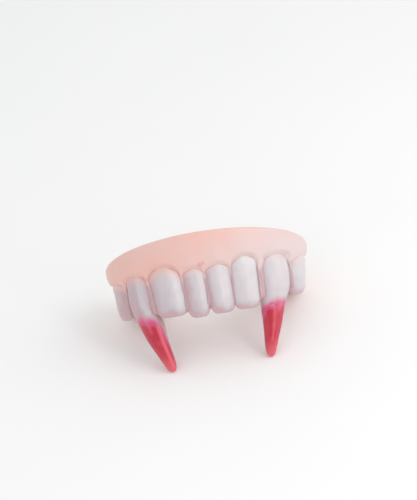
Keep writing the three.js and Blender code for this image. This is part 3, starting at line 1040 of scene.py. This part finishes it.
# How thick the white paint of each tooth is, as shares at places across it from -1 on the viewer's left to 1.
# The shares are partly the paint, which is thinner towards the grooves. They are partly painted light: painted
# shade on the flank turned from the key light, mostly the left one, and a painted highlight, an upright band
# where the face catches that light. It is full from a fade in mm below the gum margin down, and a share of that
# at the margin.
PAINT_AND_PAINTED_LIGHT = {
    row["name"]: row
    for row in rows(
        "name fade at_margin across white",
        ("central_left", 2.4, 0.2, (-1, -0.77, -0.41, -0.05, 0.32, 0.5, 0.68, 0.86, 1),
         (0.3, 0.36, 0.48, 0.58, 0.7, 0.8, 0.76, 0.55, 0.3)),
        ("lateral_left", 4, 0, (-1, -0.86, -0.6, -0.36, 0.27, 0.4, 0.64, 0.77, 0.9, 1),
         (0.28, 0.38, 0.51, 0.58, 0.67, 0.75, 0.93, 0.88, 0.72, 0.4)),
        ("fang_left", 3.6, 0.1, (-1, -0.26, -0.1, 0.1, 0.26, 0.43, 0.6, 0.78, 1),
         (0.4, 0.43, 0.53, 0.68, 0.66, 0.55, 0.42, 0.32, 0.24)),
        ("premolar_left", 3, 0, (-1, 0, 0.5, 1),
         (0.42, 0.4, 0.38, 0.28)),
        ("central_right", 1.6, 0.5, (-1, -0.83, -0.5, -0.17, 0, 0.17, 0.33, 0.67, 0.85, 1),
         (0.3, 0.38, 0.56, 0.69, 0.76, 0.88, 0.8, 0.7, 0.5, 0.3)),
        ("lateral_right", 1.2, 0.55, (-1, -0.88, -0.72, -0.24, 0.08, 0.4, 0.56, 0.72, 0.88, 1),
         (0.35, 0.52, 0.63, 0.7, 0.77, 0.83, 0.84, 0.8, 0.62, 0.4)),
        ("fang_right", 1.8, 0.5, (-1, -0.64, -0.36, -0.07, 0.21, 0.64, 0.79, 0.93, 1),
         (0.48, 0.54, 0.63, 0.74, 0.79, 0.79, 0.74, 0.56, 0.45)),
        ("premolar_right", 2, 0.4, (-1, -0.7, 0, 1),
         (0.55, 0.68, 0.76, 0.78)),
    )
}


# Length of the unevenness of the paint, and how far it shifts the paint's end at the margin.
SPOT_LENGTH = 2.5 * MM
SPOT_SHIFT = 0.6 * MM

# How bare the vinyl is at the margins of the teeth whose paint ends there.
BAREST = 0.8

# How thick the paint is at a tooth's biting edge, at its lower and its upper end, and at the least. The rise
# from the lower end to the upper is painted light: a tooth is painted lighter towards its top, where the light
# from above falls.
EDGE_PAINT = 0.48
PAINTED_TOP_LIGHT = (0.9, 1.14)
LEAST_PAINT = 0.32


def paint_spot(tooth, height, across, forward):
    """Unevenness of a tooth's paint at a place on it."""
    place = Vector((tooth.middle + across * tooth.wide / 2, forward * MM, height))
    return noise.noise(place / SPOT_LENGTH)


def bare_share(tooth, ring, height, across, forward):
    """How much of the vinyl the paint leaves bare towards the gum margin."""
    paint = PAINT_AND_PAINTED_LIGHT[tooth.name]
    to_margin = tooth.arched_margin(abs(across) * 2 * ring["half"] / tooth.wide) - height
    shifted = to_margin + SPOT_SHIFT * paint_spot(tooth, height, across, forward)
    return BAREST * (1 - paint["at_margin"]) * (1 - smoothstep(-0.3 * MM, paint["fade"] * MM, shifted))


def white_and_painted_light(tooth, ring, height, across, forward):
    """White paint of a tooth: full on its face, and thin at its sides and its biting edge. It also holds
    painted light: painted shade on the flank turned from the light, a painted highlight band, and a tooth
    painted lighter towards its top.
    """
    paint = PAINT_AND_PAINTED_LIGHT[tooth.name]
    spot = paint_spot(tooth, height, across, forward)
    up = (height - tooth.bottom) / tooth.tall
    off_edge = smoothstep(-0.2, 3, (height - tooth.bottom) / MM + 0.25 * spot)
    # The profile across holds painted shade on the flank turned from the light and a painted highlight band.
    white = smooth_curve(paint["across"], paint["white"])(across) * (1 + 0.1 * spot)
    # The rise towards the top is painted light: the tooth grows lighter upwards.
    return Vector((max(LEAST_PAINT, white * lerp(EDGE_PAINT, 1, off_edge) * lerp(*PAINTED_TOP_LIGHT, up)), 0, 0))


# Heights between which the lacquer of each fang goes from none to thin, and from thin to full, at places
# across it from -1 on the viewer's left to 1.
LACQUER_STARTS = {
    "fang_left": {
        "across": (-1, -0.45, -0.22, 0.1, 0.4, 0.65, 0.85, 1),
        "thin": (1.7, 1.9, 1.8, 1.7, 1.1, -0.8, -5.5, -11),
        "full": (0.3, 0.1, -0.5, -0.4, -1.1, -4.2, -10.5, -15),
    },
    "fang_right": {
        "across": (-1, -0.6, -0.4, -0.2, 0.2, 0.6, 1),
        "thin": (-0.4, 0.3, 0.8, 1.1, 1.2, 1.1, 0.8),
        "full": (-4.6, -2.6, -1.1, -0.8, -0.6, -1.2, -1.4),
    },
}

# Streaks and spots in the lacquer. The lighter streaks are painted highlights, upright bands where the key
# light catches a blade. The darker ones are partly runs of the lacquer and partly painted shade, as on the left
# fang's outer flank. light is above 0 where one is lighter and below 0 where it is darker, and thin is how much
# lacquer it lacks. A streak runs from one height to the other, at a place across the fang at each.
LACQUER_STREAKS_AND_HIGHLIGHTS = {
    "fang_left": rows(
        "across heights wide light thin",
        ((-0.9, -0.55), (0.3, -6.5), 0.3, -0.45, 0),
        ((-0.25, -0.2), (0.5, -2), 0.14, 0.6, 0.12),
        ((0.48, 0.44), (-1.5, -13), 0.16, 1.4, 0.28),
        ((0.05, 0.1), (-0.8, -4), 0.25, -0.3, 0),
    ),
    "fang_right": rows(
        "across heights wide light thin",
        ((0.2, 0.17), (-1, -9.5), 0.16, 0.55, 0),
        ((-0.15, -0.12), (-1, -8), 0.16, -0.3, 0),
        ((0.68, 0.6), (0.8, -1.2), 0.16, 0.9, 0.3),
        ((-0.26, -0.26), (-1.4, -1.8), 0.1, -0.5, 0),
        ((0.7, 0.65), (-2, -12), 0.12, 0.35, 0),
    ),
}

# A bubble's ring of thin lacquer, with its radius and the half width of the ring.
LACQUER_BUBBLE = {
    "fang": "fang_right", "across": -0.04, "height": -0.5, "radius": 0.55, "wide": 0.24, "thin": 0.3
}


# How light the red is on the blade, how much lighter at its tip, and how much its blotches change it.
RED_LIGHT = {"blade": 0.12, "tip": 0.75, "blotches": 0.2}

# Height under which a fang's white paint no longer thins towards a biting edge.
FANG_PAINT_FROM = 4.6 * MM


def fang_cover(tooth, ring, height, across, forward):
    """White paint of a fang's crown, red lacquer of its blade, and how light the red is, with painted
    highlights and painted shade along the blade.
    """
    tall = height / MM
    spot = noise.noise(Vector((across * 2.5, forward, tall * 0.5)) / 1.2)
    fine = noise.noise(Vector((across * 6, tooth.middle / MM, tall * 0.3)) / 1.5)
    white = white_and_painted_light(tooth, ring, max(height, FANG_PAINT_FROM), across, forward).x
    starts = LACQUER_STARTS[tooth.name]
    red = 0
    for key in ("thin", "full"):
        over = tall + 0.5 * fine + 0.35 * spot - smooth_curve(starts["across"], starts[key])(across)
        red += 0.5 * changed(key, over)
    wrapped = changed("back", forward)
    red *= lerp(1, wrapped, changed("low back", tall))
    tip = changed("tip", tall)
    light = RED_LIGHT["blade"] + RED_LIGHT["tip"] * tip + RED_LIGHT["blotches"] * spot * (1 - tip)
    # Painted highlights, and painted shade among the runs of the lacquer, along the blade.
    for mark in LACQUER_STREAKS_AND_HIGHLIGHTS[tooth.name]:
        start, end = mark["heights"]
        along = min(1, max(0, (tall - start) / (end - start)))
        off = (across - lerp(*mark["across"], along)) / mark["wide"]
        past = max(0, tall - start, end - tall)
        shown = math.exp(-(off**2) - past**2) * max(0, forward)
        light += mark["light"] * shown
        red *= 1 - mark["thin"] * shown
    if tooth.name == LACQUER_BUBBLE["fang"]:
        sideways = (across - LACQUER_BUBBLE["across"]) * ring["half"] / MM
        reach = math.hypot(sideways, tall - LACQUER_BUBBLE["height"]) - LACQUER_BUBBLE["radius"]
        on_ring = math.exp(-((reach / LACQUER_BUBBLE["wide"]) ** 2)) * (forward > 0)
        red *= 1 - LACQUER_BUBBLE["thin"] * on_ring
    return Vector((white, red, min(1, max(0, light))))


class DENTURE_OT_paint_teeth(bpy.types.Operator):
    """Shape and paint the six flat teeth"""

    bl_idname = "denture.paint_teeth"
    bl_label = "Paint the flat teeth"

    def execute(self, context):
        make_teeth(context, False, "painted", painted_tooth(), white_and_painted_light)
        return {"FINISHED"}


class DENTURE_OT_lacquer_fangs(bpy.types.Operator):
    """Shape the two fangs, paint their crowns and lacquer their tips"""

    bl_idname = "denture.lacquer_fangs"
    bl_label = "Lacquer the fangs"

    def execute(self, context):
        make_teeth(context, True, "lacquered", lacquered_fang(), fang_cover)
        return {"FINISHED"}


# The camera looks level at the arch's front, a little from the viewer's right, and is rolled so that the
# row of teeth rises to the right. The aim is in the arch's own frame.
CAMERA_YAW = math.radians(3)
CAMERA_ROLL = math.radians(9.1)
CAMERA_DISTANCE = 600 * MM
CAMERA_AIM = Vector((1.91, 8, 19.05)) * MM
VIEW_HEIGHT = 148 * MM
SENSOR_HEIGHT = 24
CLIP_START = 10 * MM

# Strength of the even light from all round.
WORLD_STRENGTH = 0.79


class DENTURE_OT_set_stage(bpy.types.Operator):
    """Set the pale floor, the soft lights and the camera"""

    bl_idname = "denture.set_stage"
    bl_label = "Set the stage"

    def execute(self, context):
        scene = context.scene
        leaned = lean_back(scene.denture_sizes)
        towards = Vector((math.sin(CAMERA_YAW), -math.cos(CAMERA_YAW), 0))
        aim = leaned @ CAMERA_AIM
        back = leaned.to_3x3() @ towards
        right = (leaned.to_3x3() @ Vector((0, 0, 1))).cross(back).normalized()
        up = back.cross(right)
        self.add_camera(scene, aim, right, up, back)
        for light in LIGHTS:
            self.add_light(scene, light, aim, right, up, back)
        self.add_floor(scene)
        world = bpy.data.worlds.new("studio")
        world.use_nodes = True
        inputs = world.node_tree.nodes["Background"].inputs
        inputs["Color"].default_value = (1, 1, 1, 1)
        inputs["Strength"].default_value = WORLD_STRENGTH
        scene.world = world
        scene.view_settings.view_transform = "Standard"
        return {"FINISHED"}

    @staticmethod
    def turned(right, up, back):
        return Matrix((right, up, back)).transposed().to_4x4()

    def add_camera(self, scene, aim, right, up, back):
        data = bpy.data.cameras.new("camera")
        data.sensor_fit = "VERTICAL"
        data.sensor_height = SENSOR_HEIGHT
        data.lens = SENSOR_HEIGHT * CAMERA_DISTANCE / VIEW_HEIGHT
        data.clip_start = CLIP_START
        camera = bpy.data.objects.new("camera", data)
        place = Matrix.Translation(aim + back * CAMERA_DISTANCE)
        roll = Matrix.Rotation(-CAMERA_ROLL, 4, "Z")
        camera.matrix_world = place @ self.turned(right, up, back) @ roll
        scene.collection.objects.link(camera)
        scene.camera = camera

    def add_light(self, scene, light, aim, right, up, back):
        data = bpy.data.lights.new(light["name"], "AREA")
        data.shape = "RECTANGLE"
        data.size, data.size_y = light["width"], light["height"]
        data.energy = light["power"]
        data.color = linear(light["tint"])
        lamp = bpy.data.objects.new(light["name"], data)
        facing = (right * light["right"] + up * light["up"] + back * light["towards"]).normalized()
        side = up.cross(facing).normalized()
        place = Matrix.Translation(aim + facing * light["distance"])
        lamp.matrix_world = place @ self.turned(side, facing.cross(side), facing)
        scene.collection.objects.link(lamp)

    def add_floor(self, scene):
        form = bmesh.new()
        bmesh.ops.create_grid(form, x_segments=2, y_segments=2, size=FLOOR_HALF)
        mesh = bpy.data.meshes.new("floor")
        form.to_mesh(mesh)
        form.free()
        mesh.materials.append(matt_floor())
        floor = bpy.data.objects.new("floor", mesh)
        scene.collection.objects.link(floor)


# Soft lights round the aim. right, up and towards give the direction in the camera's own axes before its
# roll.
LIGHTS = rows(
    "name right up towards distance width height power tint",
    ("key", 1, 0.65, 0.8, 0.5, 0.42, 0.5, 0.72, "#FFFDFB"),
    ("strip", 0.7, 0.15, 1, 0.5, 0.04, 0.5, 0.2, "#FFFFFF"),
    ("fill", -0.4, 0.12, 1, 0.7, 0.4, 0.3, 0.3, "#FBFBFF"),
)

# Half the floor's width, and the grey that its clouds lean to.
FLOOR_HALF = 1.5
FLOOR_CLOUD = (0.7, 0.7, 0.7, 1)


def matt_floor():
    """Matt painted board: pale, without gloss, with the faintest unevenness."""
    colours = bpy.context.scene.denture_colours
    material, tree = new_material("matt painted board")
    object_place = add_node(tree, "TexCoord").outputs["Object"]
    cloud = add_node(tree, "TexNoise", {"Vector": object_place, "Scale": 1 / CLOUD_SIZE, "Detail": 2})
    tone = add_node(tree, "MapRange", {"Value": cloud.outputs["Fac"], **NOISE_SPAN, "To Max": 0.03})
    paper = add_node(
        tree,
        "Mix",
        {0: tone.outputs["Result"], MIX_A: opaque(colours.paper), MIX_B: FLOOR_CLOUD},
        data_type="RGBA",
    )
    shader = add_node(
        tree,
        "BsdfPrincipled",
        {"Base Color": paper.outputs[MIX_OUT], "Roughness": 0.85, "IOR": 1.45},
    )
    add_node(tree, "OutputMaterial", {"Surface": shader.outputs["BSDF"]})
    return material


class DENTURE_PT_workshop(bpy.types.Panel):
    """Steps and sizes of the denture"""

    bl_label = "Denture"
    bl_idname = "DENTURE_PT_workshop"
    bl_space_type = "VIEW_3D"
    bl_region_type = "UI"
    bl_category = "Denture"

    def draw(self, context):
        for operator in OPERATORS:
            self.layout.operator(operator.bl_idname)
        for group in (context.scene.denture_sizes, context.scene.denture_colours):
            box = self.layout.box()
            for name in group.bl_rna.properties.keys():
                if name not in {"rna_type", "name"}:
                    box.prop(group, name)


OPERATORS = (
    DENTURE_OT_set_stage,
    DENTURE_OT_mould_gum,
    DENTURE_OT_paint_teeth,
    DENTURE_OT_lacquer_fangs,
)
CLASSES = (DentureSizes, DentureColours, *OPERATORS, DENTURE_PT_workshop)


def register():
    for cls in CLASSES:
        bpy.utils.register_class(cls)
    bpy.types.Scene.denture_sizes = PointerProperty(type=DentureSizes)
    bpy.types.Scene.denture_colours = PointerProperty(type=DentureColours)


def unregister():
    del bpy.types.Scene.denture_colours
    del bpy.types.Scene.denture_sizes
    for cls in reversed(CLASSES):
        bpy.utils.unregister_class(cls)


def main():
    register()
    bpy.ops.denture.set_stage()
    bpy.ops.denture.mould_gum()
    bpy.ops.denture.paint_teeth()
    bpy.ops.denture.lacquer_fangs()


if __name__ == "__main__":
    main()
